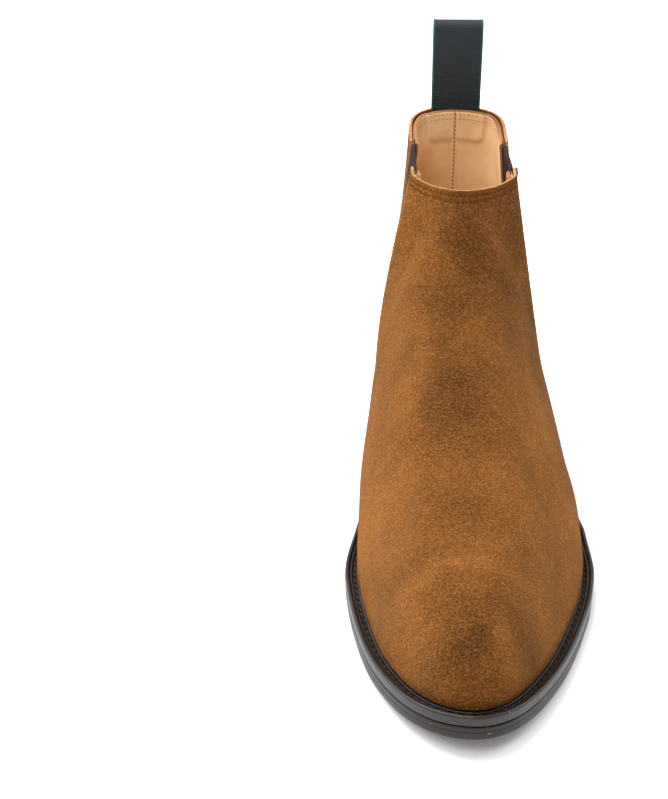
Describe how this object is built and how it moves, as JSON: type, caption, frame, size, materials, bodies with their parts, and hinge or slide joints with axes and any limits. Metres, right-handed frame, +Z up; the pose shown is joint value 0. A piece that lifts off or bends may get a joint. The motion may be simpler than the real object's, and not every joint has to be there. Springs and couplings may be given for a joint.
{
  "type": "chelsea boot",
  "caption": "Ankle boot with a one-piece suede front, elastic side gussets, a pull tab at the back and a welted rubber sole with a low stacked heel.",
  "frame": {"origin": "on the floor under the middle of the bounding box", "axes": "+Z up, the toe points along -Y and the heel along +Y, the inner side of the left foot is -X"},
  "size_m": [0.1074, 0.308, 0.2094],
  "materials": {
    "suede": "tan calf suede with a short brushed nap",
    "lining_leather": "smooth undyed lining leather, satin",
    "elastic": "ribbed dark brown elastic gusset",
    "webbing": "charcoal woven tape with a thin green edge",
    "sole_rubber": "dark brown rubber, satin",
    "welt_rubber": "dark brown moulded welt, satin",
    "stacked_leather": "dark burnished stacked leather",
    "thread": "waxed sewing thread",
    "stiffener": "matte stiffener board",
    "insole_fibre": "matte fibre board",
    "cork": "granulated cork",
    "steel": "plain steel"
  },
  "bodies": {
    "foot_and_front": {"outsole": "sole_rubber", "welt": "welt_rubber", "welt_thread": "thread", "bottom_filler": "cork", "shank": "steel", "insole_board": "insole_fibre", "sock_liner": "lining_leather", "heel_top_piece": "sole_rubber", "heel_lift_1": "stacked_leather", "heel_lift_2": "stacked_leather", "heel_lift_3": "stacked_leather", "heel_nail_1": "steel", "heel_nail_2": "steel", "heel_nail_3": "steel", "heel_nail_4": "steel", "vamp": "suede", "toe_puff": "stiffener", "vamp_lining": "lining_leather", "gore_medial": "elastic", "gore_lateral": "elastic"},
    "rear_upper": {"quarter_medial": "suede", "quarter_lateral": "suede", "quarter_lining_medial": "lining_leather", "quarter_lining_lateral": "lining_leather", "back_strip": "suede", "heel_counter": "stiffener", "tab_anchor": "webbing"},
    "tab": {"pull_tab": "webbing"}
  },
  "joints": [
    {"name": "topline_opening", "type": "hinge", "parent": "foot_and_front", "child": "rear_upper", "pos_m": [-0.00425, 0.146, 0.036], "axis": [-1, 0, 0], "range_deg": [0, 5], "stiffness_Nm_per_rad": 6, "deforming": ["gore_medial", "gore_lateral"]},
    {"name": "pull_tab_fold", "type": "hinge", "parent": "rear_upper", "child": "tab", "pos_m": [-0.00425, 0.1369, 0.17], "axis": [-1, 0, 0], "range_deg": [-60, 100], "stiffness_Nm_per_rad": 0.02}
  ]
}
